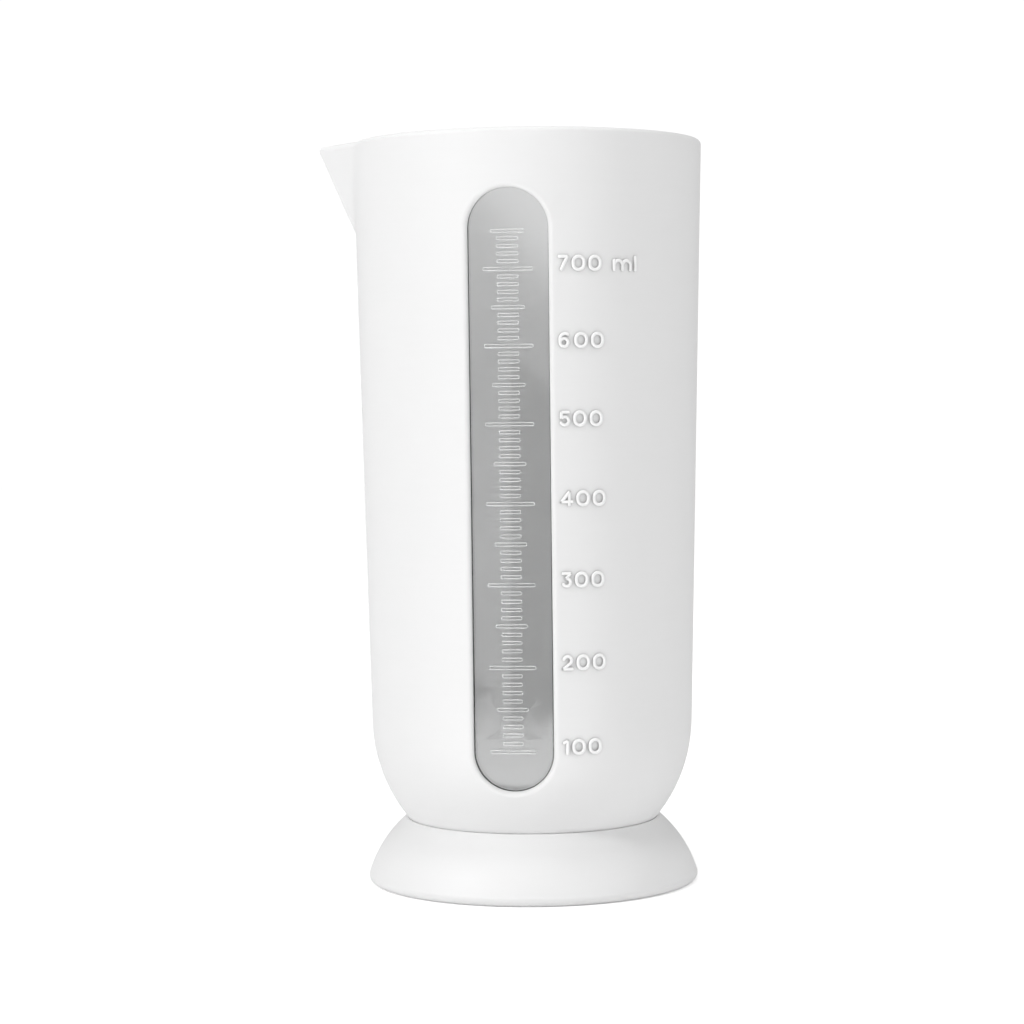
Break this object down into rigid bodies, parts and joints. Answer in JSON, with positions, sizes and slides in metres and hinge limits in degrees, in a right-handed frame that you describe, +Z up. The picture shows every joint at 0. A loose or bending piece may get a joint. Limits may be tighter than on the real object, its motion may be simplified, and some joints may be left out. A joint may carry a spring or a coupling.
{
  "type": "baby formula pitcher",
  "caption": "Tall tapered measuring pitcher with a V-shaped pouring spout, a clear front window with raised volume marks, and a flared foot ring.",
  "frame": {"origin": "on the cup's axis, at the level of the ground that the foot stands on", "axes": "+Z up along the cup's axis, the spout points to -X, the measuring window faces -Y"},
  "size_m": [0.0987, 0.0892, 0.19],
  "materials": {
    "white_plastic": "satin",
    "clear_plastic": "clear, polished",
    "foot_plastic": "satin"
  },
  "bodies": {
    "root": {"jug_body": "white_plastic", "measuring_window": "clear_plastic", "foot": "foot_plastic"}
  },
  "joints": []
}
